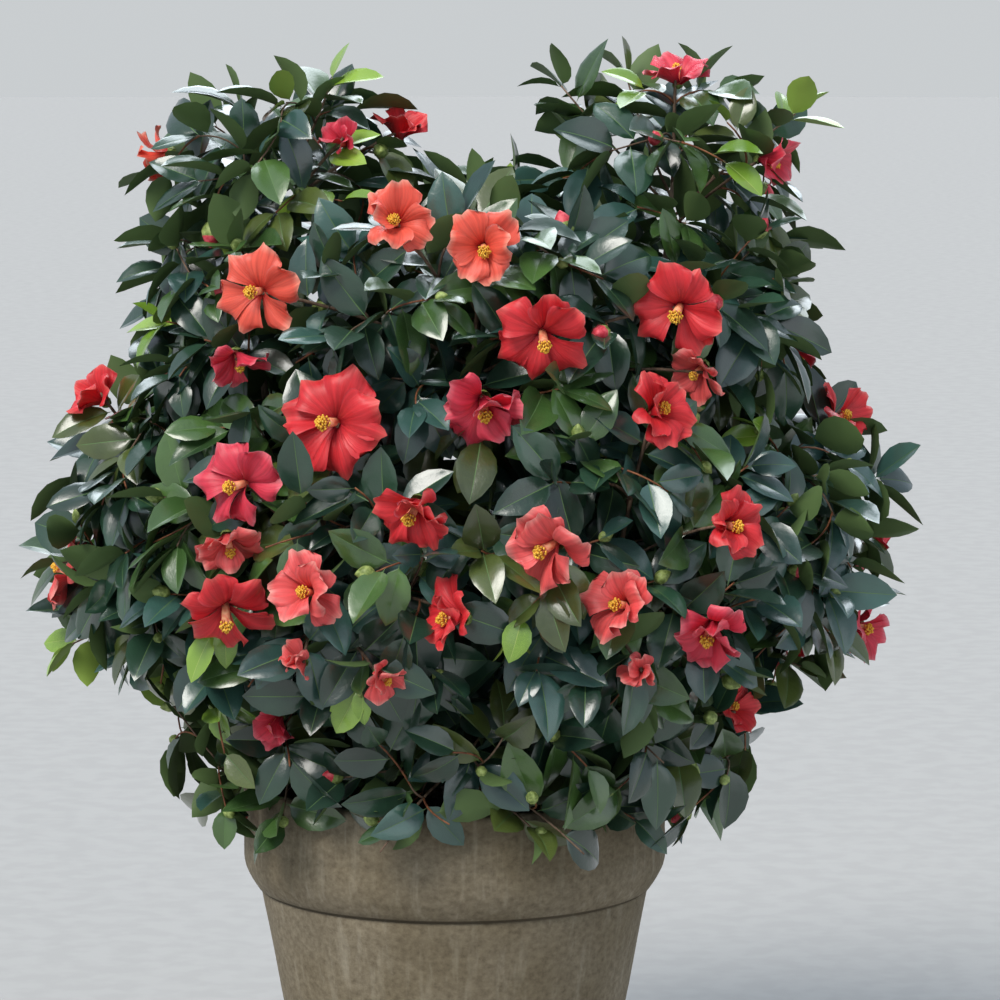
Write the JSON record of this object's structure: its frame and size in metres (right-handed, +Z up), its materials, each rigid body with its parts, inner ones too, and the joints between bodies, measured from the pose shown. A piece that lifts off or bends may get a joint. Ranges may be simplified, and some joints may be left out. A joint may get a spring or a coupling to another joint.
{
  "type": "potted camellia shrub",
  "caption": "Bushy evergreen camellia in bloom, growing in a round clay pot with a tall collar; crown with two raised tops.",
  "frame": {"origin": "middle of the pot's flat underside, at ground level", "axes": "+Z up, +X to the viewer's right in the picture, -Y towards the viewer"},
  "size_m": [0.829, 0.7329, 1.0412],
  "materials": {
    "clay": "matt unglazed clay, streaked downwards",
    "compost": "loose, damp and crumbly",
    "bark": "smooth grey-brown bark",
    "foliage": "glossy leaves and soft petals"
  },
  "bodies": {
    "root": {"pot": "clay", "compost": "compost", "stem_left": "bark", "stem_right": "bark", "stem_front": "bark", "stem_back": "bark", "bough_skirt_back_right": "bark", "bough_skirt_back": "bark", "bough_skirt_back_left": "bark", "bough_skirt_front_left": "bark", "bough_skirt_front": "bark", "bough_skirt_front_right": "bark", "bough_wing_right": "bark", "bough_wing_back_right": "bark", "bough_wing_back_left": "bark", "bough_wing_left": "bark", "bough_wing_front_left": "bark", "bough_wing_front_right": "bark", "bough_shoulder_right": "bark", "bough_shoulder_left": "bark", "bough_shoulder_front": "bark", "foliage_skirt_back_right": "foliage", "foliage_skirt_back": "foliage", "foliage_skirt_back_left": "foliage", "foliage_skirt_front_left": "foliage", "foliage_skirt_front": "foliage", "foliage_skirt_front_right": "foliage", "foliage_wing_right": "foliage", "foliage_wing_back_right": "foliage", "foliage_wing_back_left": "foliage", "foliage_wing_left": "foliage", "foliage_wing_front_left": "foliage", "foliage_wing_front_right": "foliage", "foliage_shoulder_right": "foliage", "foliage_shoulder_back": "foliage", "foliage_shoulder_left": "foliage", "foliage_shoulder_front": "foliage", "foliage_top_left": "foliage", "foliage_top_right": "foliage", "foliage_middle": "foliage"}
  },
  "joints": []
}
